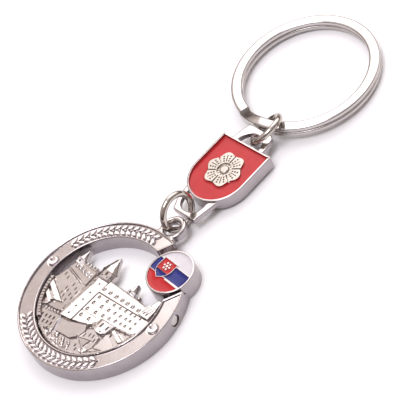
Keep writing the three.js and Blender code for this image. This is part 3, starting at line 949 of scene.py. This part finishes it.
def paint_wing(r):
    dull(r, [(-5.0, 3.9), (-9.8, 4.5), (-11.7, 3.6), (-12.4, 0.6), (-13.6, -2.3), (-12.2, -2.6), (-6.8, -5.3),
             (-5.0, -6.6)], (-8, 0), 2.82, 0.02, -0.01)
    dull(r, [(-4.9, 4.4), (-10.0, 4.6), (-12.0, 3.0), (-11.9, 1.6), (-6.7, 0.3), (-5.0, 0.0)],
         (-8, 2), 2.96, 0.03)
    r.shift(r.bar([(-11.9, 1.55), (-6.7, 0.35)], 0.14), -0.16, 0.05)
    r.shift(r.bar([(-11.9, 1.15), (-6.7, -0.05)], 0.1), 0.1, 0.05)
    for i in range(12):
        u = -11.2 + 0.42 * i
        r.shift(r.box((u, 0.98 - 0.235 * i * 0.42), 0.14, 0.26, 12), -0.14, 0.05)
    for i in range(5):
        r.swell(r.window((-10.35 + 1.08 * i, 2.72 - 0.13 * i), 0.72, 1.1), 2.88, 0.34)
    r.shift(r.bar([(-9.7, 3.75), (-5.3, 3.6)], 0.22), 0.16)
    for i in range(5):
        r.shift(r.box((-5.8 - 0.9 * i, 4.15), 0.5, 0.7), 0.18)
    for u, v in ((-11.4, 0.0), (-10.24, -0.5), (-7.7, -1.1), (-6.55, -1.6), (-8.6, -2.4), (-7.8, -2.8),
                 (-6.6, -3.25), (-8.7, -3.75), (-7.7, -4.15), (-6.5, -4.7), (-5.6, -2.2), (-5.6, -3.7)):
        r.shift(r.box((u, v), 0.2, 0.74, 4), -0.28, 0.05)
    dull(r, [(-9.6, 3.0), (-9.6, 4.45), (-11.9, 4.4), (-11.6, 3.0)], (-10.6, 3.8), 3.0, -0.2)
    r.shift(r.bar([(-11.6, 4.3), (-9.7, 4.2)], 0.2), 0.14)
    r.shift(r.window((-10.9, 3.7), 0.26, 0.5), -0.4)
    bright(r, [(-11.7, 4.4), (-9.8, 4.4), (-10.9, 7.0)], (-10.8, 4.4), 3.05)
    dull(r, [(-10.45, 4.4), (-9.7, 4.4), (-10.85, 7.0)], (-10.45, 4.4), 3.03, -0.9, -0.3)


def paint_bastion(r):
    """The sloping roofs, six-sided lantern and battlements at the lower left."""
    bright(r, [(-13.3, -2.4), (-12.2, -2.7), (-6.7, -5.35), (-7.1, -6.3), (-8.3, -6.0), (-12.6, -3.9)],
           (-10, -4), 3.1)
    dull(r, [(-12.8, -3.5), (-8.3, -5.9), (-9.0, -6.6), (-12.7, -4.6)], (-10.5, -4.9), 2.86, 0.1, -0.3)
    bright(r, [(-13.6, -3.1), (-12.6, -4.2), (-8.9, -6.2), (-9.2, -7.5), (-13.4, -5.6)], (-10, -6), 3.0)
    dull(r, [(-13.4, -4.6), (-9.3, -7.0), (-10.3, -8.6), (-13.4, -8.0)], (-11, -7), 2.66, 0.12, -0.2)
    dull(r, [(-8.95, -7.4), (-8.2, -6.0), (-6.3, -5.5), (-5.3, -5.6), (-4.85, -6.9), (-6.8, -7.3)],
         (-7, -6.5), 3.0, 0.02, 0.02)
    r.shift(r.bar([(-8.95, -7.4), (-8.2, -6.0), (-6.3, -5.5)], 0.14), 0.12)
    r.shift(r.bar([(-5.5, -5.5), (-4.85, -6.7)], 0.3), 0.14)
    dull(r, [(-10.6, -7.7), (-9.4, -8.5), (-4.4, -7.6), (-4.1, -8.0), (-3.1, -10.9), (-5.2, -11.6),
             (-9.5, -11.6)],
         (-6.5, -9.5), 2.8, 0.01, 0.01)
    dull(r, [(-4.45, -8.0), (-3.55, -8.0), (-2.75, -10.9), (-3.4, -11.1)], (-4.2, -8.0), 2.84, -0.5)
    for row, (base, shift_u) in enumerate(((-9.3, 0.0), (-10.55, 0.4))):
        for i in range(4):
            spot = (-8.3 + shift_u + 1.01 * i, base - 0.3 + 0.19 * i)
            r.shift(r.box(spot, 0.32, 0.7, 8), -0.36, 0.05)
    r.shift(r.bar([(-10.1, -7.6), (-9.5, -8.15), (-8.3, -8.0), (-4.6, -7.4)], 0.62), 0.14)
    for i in range(7):
        r.shift(r.box((-9.75 + 0.82 * i, -8.05 + 0.09 * i), 0.46, 0.72, 22), 0.24)
    r.shift(r.box((-4.9, -11.35), 0.42, 0.55), -0.4)


def paint_terrace(r):
    dull(r, [(-3.65, -8.2), (-2.0, -7.85), (2.45, -6.3), (3.45, -8.1), (2.7, -9.3), (1.2, -10.5),
             (-2.85, -10.8)],
         (0, -8.5), 2.96, 0.01, 0.01)
    r.shift(r.bar([(-2.0, -7.85), (2.45, -6.3)], 0.2), 0.1)
    r.shift(r.bar([(-3.65, -8.2), (-2.85, -10.8)], 0.12), -0.16)


def paint_gatehouse(r):
    dull(r, [(2.8, -9.3), (3.4, -7.0), (4.4, -6.2), (6.7, -7.0), (7.2, -9.3), (6.6, -10.6), (6.3, -12.2),
             (2.9, -12.6)], (5, -9), 2.7, -0.02, 0.02)
    dull(r, [(2.65, -9.35), (5.9, -8.5), (5.4, -10.3)], (2.65, -9.35), 3.0, 0.0, 0.03)
    for tip in ((5.9, -8.5), (5.45, -10.9)):
        r.shift(r.bar([(2.65, -9.35), tip], 0.24), 0.2)
    bright(r, [(5.3, -10.4), (6.85, -10.4), (6.35, -11.6), (5.1, -11.6)], (6, -11), 2.9)
    r.shift(r.bar([(5.35, -10.45), (6.1, -11.6)], 0.2), 0.15)
    r.shift(r.disc((5.75, -10.95), 0.3), -0.3)
    for u, v in ((3.62, -8.2), (4.6, -7.6), (5.5, -7.5), (6.35, -8.1)):
        r.shift(r.box((u, v), 0.2, 0.8, 4), -0.26, 0.05)
    for u, v in ((4.3, -11.6), (3.6, -10.9)):
        r.shift(r.box((u, v), 0.26, 0.6, 4), -0.26, 0.05)


def paint_drum(r):
    """The round tower with tall windows and the slanted buttresses beside it."""
    wall = r.poly([(3.45, -5.4), (4.5, -3.7), (7.9, -3.4), (7.55, -5.8), (6.6, -6.5), (4.8, -6.5),
                   (3.9, -6.1)])
    bulge = 3.24 - 0.05 * (r.u - 5.2) ** 2 - 0.06 * (r.v + 5)
    r.z += np.clip(wall / 0.07 + 0.5, 0, 1) * (bulge - r.z)
    r.shift(r.bar([(4.3, -3.75), (7.9, -3.45)], 0.16), 0.08)
    for u, v, width, tall in ((5.5, -4.75, 0.46, 1.15), (6.98, -4.65, 0.4, 1.0), (4.5, -4.5, 0.16, 1.2),
                              (4.25, -5.6, 0.24, 0.4), (6.3, -6.0, 0.24, 0.4)):
        r.shift(r.window((u, v), width, tall, 2), -0.3, 0.05)
    r.shift(r.bar([(7.85, -3.6), (7.55, -5.7)], 0.14), -0.4, 0.05)
    dull(r, [(7.0, -6.2), (7.8, -5.6), (8.4, -4.7), (12.0, -6.2), (10.6, -8.4), (7.4, -9.4)],
         (8.5, -6.5), 2.66, -0.03, 0.01)
    r.level(r.poly([(8.2, -4.6), (8.7, -4.7), (11.6, -6.2), (11.0, -6.9), (8.5, -5.7)]), 2.35)
    bright(r, [(8.3, -4.7), (8.6, -4.0), (11.9, -5.2), (11.5, -5.85)], (8.6, -4.4), 3.02)
    r.level(r.bar([(9.2, -4.1), (11.6, -4.75)], 0.26), 2.4, 0.05)
    r.level(r.poly([(6.5, -7.2), (7.5, -5.9), (7.9, -6.8), (7.35, -9.1)]), 2.34)
    r.shift(r.bar([(7.0, -6.4), (7.35, -9.1)], 0.12), -0.2, 0.05)


BUSHES = ((-8.4, -11.0), (-7.2, -11.9), (-5.9, -12.0), (-4.6, -12.2), (-3.9, -11.4), (-2.9, -12.3),
          (-1.9, -11.3), (-1.0, -12.2), (0.0, -11.3), (0.7, -12.3), (1.7, -11.2), (2.2, -12.2))


def paint_ground(r):
    """Bushes below the walls, and the two ribs of the panel's round edge."""
    radius = np.hypot(r.u, r.v)
    r.level(r.poly([(-11, -9.2), (-9.2, -11.4), (-5.4, -11.5), (-2.9, -10.9), (1.2, -10.6), (2.8, -9.6),
                    (2.9, -14), (-9, -14)]), 2.5)
    for k, (u, v) in enumerate(BUSHES):
        size = 0.5 + 0.12 * math.sin(2.3 * k)
        r.swell(r.disc((u, v), size), 2.46, size * 0.8)
        r.swell(r.disc((u + 0.42, v - 0.3), 0.3), 2.6, 0.26)
        r.shift(r.bar([(u - 0.3, v + 0.16), (u + 0.1, v - 0.12)], 0.1), -0.14, 0.05)
    for low, high, z in ((12.98, 13.6, 2.85), (12.62, 12.8, 2.72)):
        rib = np.minimum(radius - low, high - radius)
        foot = np.where(r.v < np.where(r.u > 0, -2.2, -5.4), rib, -1)
        r.level(foot, z)


LEDGE_FROM, LEDGE_TO = 189, 232  # degrees anticlockwise from the u axis
LEDGE_INNER = 12.85


def paint_ledge(r):
    """A raised stretch of the edge at the left, cut by short ticks."""
    radius = np.hypot(r.u, r.v)
    angle = np.degrees(np.arctan2(r.v, r.u)) % 360
    along = np.radians(np.minimum(angle - LEDGE_FROM, LEDGE_TO - angle)) * PANEL_RADIUS
    r.level(np.minimum(radius - LEDGE_INNER, along), 3.4)
    for degrees in range(LEDGE_FROM + 3, LEDGE_TO - 1, 3):
        a = math.radians(degrees)
        ends = [(rad * math.cos(a), rad * math.sin(a)) for rad in (13.1, 13.4)]
        r.shift(r.bar(ends, 0.16), -0.24, 0.05)


def paint_turrets(r):
    """The small corner turret and the chimney on the hall's roof."""
    dull(r, [(3.95, 3.6), (6.0, 3.6), (5.98, 4.5), (4.0, 4.5)], (5, 4), 2.95, -0.25)
    r.shift(r.window((4.6, 4.05), 0.3, 0.5), -0.3)
    bright(r, [(4.1, 4.5), (5.2, 4.4), (4.9, 6.5)], (5, 4.5), 3.0)
    dull(r, [(5.15, 4.4), (5.9, 4.5), (4.95, 6.5)], (5.1, 4.5), 3.0, -0.9, -0.25)
    r.swell(r.disc((7.36, 3.95), 0.42), 2.75, 0.42)


def paint_castle(r):
    r.z[:] = PLATE
    paint_hall(r)
    paint_wing(r)
    paint_ground(r)
    paint_bastion(r)
    paint_terrace(r)
    paint_drum(r)
    paint_gatehouse(r)
    paint_tower(r)
    paint_turrets(r)
    paint_ledge(r)
    radius = np.hypot(r.u, r.v)
    r.z -= 0.1 * np.clip((radius - PANEL_RADIUS + 0.3) / 0.3, 0, 1)


def slab_below(left, right, low, high, bottom, top):
    """A block on the pendant's drawing plane, to carve with."""
    corners = [(u, v, z) for z in (bottom, top)
               for u, v in ((left, low), (right, low), (right, high), (left, high))]
    faces = [(3, 2, 1, 0), (4, 5, 6, 7), (0, 1, 5, 4), (1, 2, 6, 5), (2, 3, 7, 6), (3, 0, 4, 7)]
    return add_mesh("roof_cutter", corners, faces, PENDANT)


PANEL_STEP = 0.2
PANEL_BORE = 0.8  # closer than the seat's, round the pin's shank
castle = relief("castle_relief", [panel_outline()], paint_castle, PANEL_BOTTOM, PANEL_STEP, PENDANT,
                edge=0.1, base=PLATE, sharp=32)
carve(castle, [radial_bar("panel_bore", angle, PIN_INNER - 0.15, PANEL_RADIUS + 1, PANEL_BORE)
               for angle in (PIN_ANGLE, PIN_ANGLE + 180)]
      + [slab_below(-14, 14, 4.05, 7.4, -1, 1.5), slab_below(-6, 0, 5.7, 10, -1, 1.95)])
finish_piece(castle, RELIEF_NICKEL, "panel", ["castle_panel"])


# ---- shield connector ----------------------------------------------------------------------

EMBLEM_TOP = 3.2
FLOWER = (0, -7.2)
FLOWER_RADIUS, FLOWER_WAVE, FLOWER_PETALS = 4, 0.35, 6
FLOWER_BED = EMBLEM_TOP - 0.34  # floor of the groove round the flower's middle


def shield_outline(inset):
    half = SHIELD_HALF - inset
    bowl = arc((0, -SHIELD_STRAIGHT), half, 180, 360, 0.25)
    corner = 0.25
    top = [(half, -inset - corner), (half - corner, -inset), (-half + corner, -inset),
           (-half, -inset - corner)]
    return np.concatenate([bowl, top])


def flower_point(reach, angle):
    """A point of the emblem by its distance from the middle and its angle from the u axis."""
    a = math.radians(angle)
    return (FLOWER[0] + reach * math.cos(a), FLOWER[1] + reach * math.sin(a))


def emblem_outline():
    """A flower's edge, anticlockwise: a circle that swells once for each petal."""
    angles = np.linspace(0, 2 * math.pi, 180, endpoint=False)
    reach = FLOWER_RADIUS + FLOWER_WAVE * np.cos(FLOWER_PETALS * angles)
    return np.c_[FLOWER[0] + reach * np.cos(angles), FLOWER[1] + reach * np.sin(angles)]


def paint_shield(r):
    rim = signed(r.p, [shield_outline(0)]) - SHIELD_RIM
    share = np.clip((rim + 0.02) / 0.12, 0, 1)
    r.z = SHIELD_TOP - (SHIELD_TOP - SHIELD_FLOOR + 0.1) * share


plate = relief("shield_plate", [shield_outline(0)], paint_shield, SHIELD_LOW, 0.3, SHIELD, edge=0.14,
               lines=[ring_of(shield_outline(SHIELD_RIM)), ring_of(shield_outline(SHIELD_RIM + 0.12))],
               base=SHIELD_TOP)
finish_piece(plate, NICKEL, "shield", ["shield_connector"])


def upper_bail():
    """A loop whose two feet end on the shield's top edge."""
    outer = [(4.35, 0.5), (3.95, 2.9), (3.5, 3.85), (2.6, 4.3), (-2.7, 4.45), (-3.5, 4.25), (-3.9, 3.5),
             (-4.5, 0.5), (-4.6, -0.3), (-2.95, -0.3)]
    hole = arc((0, 0), 2.95, 0, 180, 0.25)[::-1]
    return np.concatenate([outer, hole, [(2.95, -0.3), (4.45, -0.3)]])


def lower_bail():
    """A loop whose two arms end on the shield's bowl."""
    outer = [(-4.75, -13.4), (-4.0, -17.4), (-2.95, -19.6), (-2.5, -19.95), (3.4, -19.95), (3.75, -19.6),
             (4.75, -13.4)]
    bowl = (0, -SHIELD_STRAIGHT)
    joint = 6.7  # radius of the bowl's line that the arms run up to
    hole = [(2.72, -15.5), (2.8, -16.6), (2.62, -17.7), (2.2, -18.3), (1.3, -18.8), (0.2, -19.05),
            (-0.9, -19.0), (-1.9, -18.5), (-2.6, -17.7), (-3.0, -16.7), (-3.15, -15.6)]
    return np.concatenate([outer, arc(bowl, joint, -46.5, -64), hole, arc(bowl, joint, -119, -133.5)])


def paint_bail(r):
    r.z = BAIL_HIGH - 0.045 * (r.v - r.v.min())


for name, outline in (("shield_upper_bail", upper_bail()), ("shield_lower_bail", lower_bail())):
    bail = relief(name, [outline], paint_bail, BAIL_LOW, 0.2, SHIELD, edge=0.22, base=BAIL_HIGH)
    finish_piece(bail, NICKEL, "shield")


def paint_emblem(r):
    """Petals with a groove between them, a vein and dimples on each, round a beaded middle."""
    r.z[:] = EMBLEM_TOP
    for k in range(FLOWER_PETALS):
        petal = 360 / FLOWER_PETALS * k
        between = petal + 180 / FLOWER_PETALS
        r.shift(r.bar([flower_point(1.88, between), flower_point(3.75, between)], 0.24), -0.42, 0.05)
        r.shift(r.bar([flower_point(2.0, petal), flower_point(3.55, petal)], 0.13), -0.22, 0.05)
        for side in (-1, 1):
            for reach in (2.15, 2.75, 3.35):
                r.shift(r.disc(flower_point(reach, petal + 13.5 * side), 0.15), -0.34, 0.06)
    r.shift(r.disc(FLOWER, 1.6), FLOWER_BED - EMBLEM_TOP)
    for k in range(12):
        r.swell(r.disc(flower_point(1.34, 30 * k), 0.15), FLOWER_BED, 0.15)
    r.swell(r.disc(FLOWER, 1.05), FLOWER_BED, 0.4)


EMBLEM_STEP = 0.075
emblem = relief("shield_emblem", [emblem_outline()], paint_emblem, SHIELD_FLOOR - 0.2, EMBLEM_STEP, SHIELD,
                edge=0.07, base=EMBLEM_TOP, sharp=32)
finish_piece(emblem, EMBLEM_NICKEL, "shield")


def paint_field(r):
    metal_gap = np.minimum(signed(r.p, [shield_outline(SHIELD_RIM)]), -signed(r.p, [emblem_outline()]))
    meniscus = np.clip(1 - metal_gap / 0.45, 0, 1) ** 2
    r.z = SHIELD_FLOOR + 0.13 + 0.06 * meniscus


field = relief("shield_red_field", [shield_outline(SHIELD_RIM - 0.03)], paint_field, SHIELD_FLOOR - 0.15, 0.2,
               SHIELD, edge=0.0, lines=[ring_of(emblem_outline())], base=SHIELD_FLOOR)
finish_piece(field, RED, "shield", ["shield_enamel"])


# ---- jump rings and split ring ---------------------------------------------------------------

def jump_ring(name, node, normal, body, gap_angle):
    """Round wire bent into a ring, its two cut ends meeting with a hairline between them."""
    centre = middle(node) * MM
    axis = Vector(normal).normalized()
    place = Matrix.Translation(centre) @ Vector((0, 0, 1)).rotation_difference(axis).to_matrix().to_4x4()
    place = place @ Matrix.Scale(MM, 4)
    half_gap = 0.9
    count, sides = 110, 22
    path = []
    for i in range(count + 1):
        share = i / count
        a = math.radians(gap_angle + half_gap + (360 - 2 * half_gap) * share)
        lift = 0.03 * (share - 0.5)
        wire_out = Vector((math.cos(a), math.sin(a), 0))
        path.append((wire_out * LINK_RADIUS + Vector((0, 0, lift)), wire_out, Vector((0, 0, 1))))
    section = [(LINK_WIRE * math.cos(2 * math.pi * k / sides), LINK_WIRE * math.sin(2 * math.pi * k / sides))
               for k in range(sides)]
    ends = []
    for scale, index, shift in ((0.86, 0, -0.05), (0.86, count, 0.05)):
        point, side, lift = path[index]
        tangent = lift.cross(side)
        ends.append((point + tangent * shift, side * scale, lift * scale))
    path = [ends[0]] + path + [ends[1]]
    ring = swept(name, path, section, place)
    finish_piece(ring, WIRE, body, [node])


jump_ring("jump_ring_lower", "lower_jump_ring", LOWER_NORMAL, "lower_link", 272)
jump_ring("jump_ring_upper", "upper_jump_ring", UPPER_NORMAL, "upper_link", 150)


def rounded_section(width, height, reach, drop, steps=4):
    """A rectangle from the inner side outwards, its corners rounded by so much across and down."""
    points = []
    for cx, cz, start in ((width - reach, height - drop, 0), (reach, height - drop, 90),
                          (reach, drop, 180), (width - reach, drop, 270)):
        for k in range(steps + 1):
            a = math.radians(start + 90 * k / steps)
            points.append((cx + reach * math.cos(a), cz + drop * math.sin(a)))
    return points


def smoothstep(x, low, high):
    t = min(max((x - low) / (high - low), 0), 1)
    return t * t * (3 - 2 * t)


def split_ring():
    """Flat wire wound twice, with a climb where the upper coil starts."""
    lean = math.atan(RING_RAISE / (2 * RING_OUTER))
    centre = middle("split_ring")
    place = Matrix.Translation((centre.x * MM, centre.y * MM, RING_OUTER * math.sin(lean) * MM))
    place = place @ Matrix.Rotation(lean, 4, "Y") @ Matrix.Scale(MM, 4)
    start, end, step = RAMP_TO, RAMP_FROM + 5 + 720, 2
    count = round((end - start) / step)
    path = []
    for i in range(count + 1):
        angle = start + (end - start) * i / count
        climb = smoothstep(angle, RAMP_FROM + 360, RAMP_TO + 348) * RING_PITCH
        a = math.radians(angle)
        side = Vector((math.cos(a), math.sin(a), 0))
        path.append((side * (RING_OUTER - RING_WIRE) + Vector((0, 0, climb)), side, Vector((0, 0, 1))))
    section = rounded_section(RING_WIRE, RING_THICK, 0.5, 0.32)
    ring = swept("split_ring_wire", path, section, place)
    finish_piece(ring, STEEL, "key_ring", ["split_ring"])


split_ring()


# ---- floor, light and camera -----------------------------------------------------------------

ELEVATION = math.radians(45.893)
HEADING = math.radians(24.8)
ROLL = math.radians(29.786)
DISTANCE = 418.03
TARGET = Vector((-2.05, 0.27, 0))
LENS = 186.16

RIGHT = Vector((math.cos(HEADING), -math.sin(HEADING), 0))
BACK = Vector((-math.sin(HEADING) * math.cos(ELEVATION), -math.cos(HEADING) * math.cos(ELEVATION),
               math.sin(ELEVATION)))
UP = Vector((math.sin(HEADING) * math.sin(ELEVATION), math.cos(HEADING) * math.sin(ELEVATION),
             math.cos(ELEVATION)))


def build_floor():
    """A flat studio floor, large enough for every view."""
    verts, faces, side = [], [], 24
    for i in range(side + 1):
        for j in range(side + 1):
            verts.append(((i / side - 0.5) * 6000, (j / side - 0.5) * 6000, -0.02))
    for i in range(side):
        for j in range(side):
            a = i * (side + 1) + j
            faces.append((a, a + side + 1, a + side + 2, a + 1))
    floor = add_mesh("studio_floor", verts, faces, Matrix.Scale(MM, 4))
    material, nodes, links, shader = new_material("white_floor")
    shader.inputs["Roughness"].default_value = 0.9
    grain = noise_of(nodes, links, 30, 2)
    tone = ramp_of(nodes, links, grain.outputs["Fac"],
                   [(0.3, (0.93, 0.925, 0.94)), (0.7, (0.95, 0.945, 0.955))])
    links.new(tone.outputs["Color"], shader.inputs["Base Color"])
    shader.inputs["Specular IOR Level"].default_value = 0.1
    floor.data.materials.append(material)


def build_world():
    """A bright dome that darkens towards the front and the left, warm near the horizon."""
    world = bpy.data.worlds.new("studio")
    bpy.context.scene.world = world
    world.use_nodes = True
    nodes, links = world.node_tree.nodes, world.node_tree.links
    shade = nodes["Background"]
    coords = nodes.new("ShaderNodeTexCoord")

    def component(axis):
        dot = nodes.new("ShaderNodeVectorMath")
        dot.operation = "DOT_PRODUCT"
        dot.inputs[1].default_value = axis
        links.new(coords.outputs["Generated"], dot.inputs[0])
        return dot.outputs["Value"]

    def blend(value, low, high, start, end):
        spread = nodes.new("ShaderNodeMapRange")
        spread.interpolation_type = "SMOOTHSTEP"
        for key, number in (("From Min", low), ("From Max", high), ("To Min", start), ("To Max", end)):
            spread.inputs[key].default_value = number
        links.new(value, spread.inputs["Value"])
        return spread.outputs["Result"]

    def times(a, b):
        product = nodes.new("ShaderNodeMath")
        product.operation = "MULTIPLY"
        links.new(a, product.inputs[0])
        links.new(b, product.inputs[1])
        return product.outputs["Value"]

    height = component((0, 0, 1))
    sideways = component(RIGHT)
    away = component(Vector((math.sin(HEADING), math.cos(HEADING), 0)))
    level = blend(height, 0.02, 0.55, 0.12, 1.17)
    left = blend(sideways, -0.5, 0.0, 0.75, 1.0)
    front = blend(away, -0.5, 0.25, 0.45, 1.0)
    links.new(times(times(level, left), front), shade.inputs["Strength"])
    stops = [(0.02, (0.70, 0.46, 0.36)), (0.35, (0.92, 0.82, 0.77)), (0.78, (0.93, 0.83, 0.79)),
             (0.95, (0.93, 0.91, 1.0))]
    colour = ramp_of(nodes, links, height, stops)
    links.new(colour.outputs["Color"], shade.inputs["Color"])


def area_light(name, direction, distance, size, power, color=(1, 1, 1)):
    light = bpy.data.lights.new(name, "AREA")
    light.shape = "RECTANGLE"
    light.size, light.size_y = size
    light.energy = power
    light.color = color
    lamp = bpy.data.objects.new(name, light)
    bpy.context.scene.collection.objects.link(lamp)
    direction = Vector(direction).normalized()
    lamp.location = direction * distance
    lamp.rotation_euler = direction.to_track_quat("Z", "Y").to_euler()


def build_lights():
    """A softbox whose left edge stands straight behind the chain, and a smaller one overhead."""
    away = Vector((math.sin(HEADING), math.cos(HEADING), 0))
    turn = math.radians(36.5)
    behind = (away * math.cos(turn) + RIGHT * math.sin(turn)) * math.cos(ELEVATION)
    area_light("key_softbox", behind + Vector((0, 0, math.sin(ELEVATION))), 0.9, (0.9, 0.7), 3.4)
    area_light("top_softbox", away * -0.1 - RIGHT * 0.2 + Vector((0, 0, 1)), 1.0, (0.5, 0.5), 4.2,
               (0.96, 0.95, 1.0))


def build_camera():
    camera_data = bpy.data.cameras.new("camera")
    camera_data.lens = LENS
    camera_data.sensor_width = 36
    camera_data.clip_start = 0.01
    camera_data.clip_end = 20
    camera = bpy.data.objects.new("camera", camera_data)
    bpy.context.scene.collection.objects.link(camera)
    across = math.cos(ROLL) * RIGHT - math.sin(ROLL) * UP
    upright = math.sin(ROLL) * RIGHT + math.cos(ROLL) * UP
    turn = Matrix((across, upright, BACK)).transposed().to_4x4()
    camera.matrix_world = Matrix.Translation((TARGET + BACK * DISTANCE) * MM) @ turn
    bpy.context.scene.camera = camera


build_floor()
build_world()
build_lights()
build_camera()
bpy.context.scene.view_settings.view_transform = "Standard"
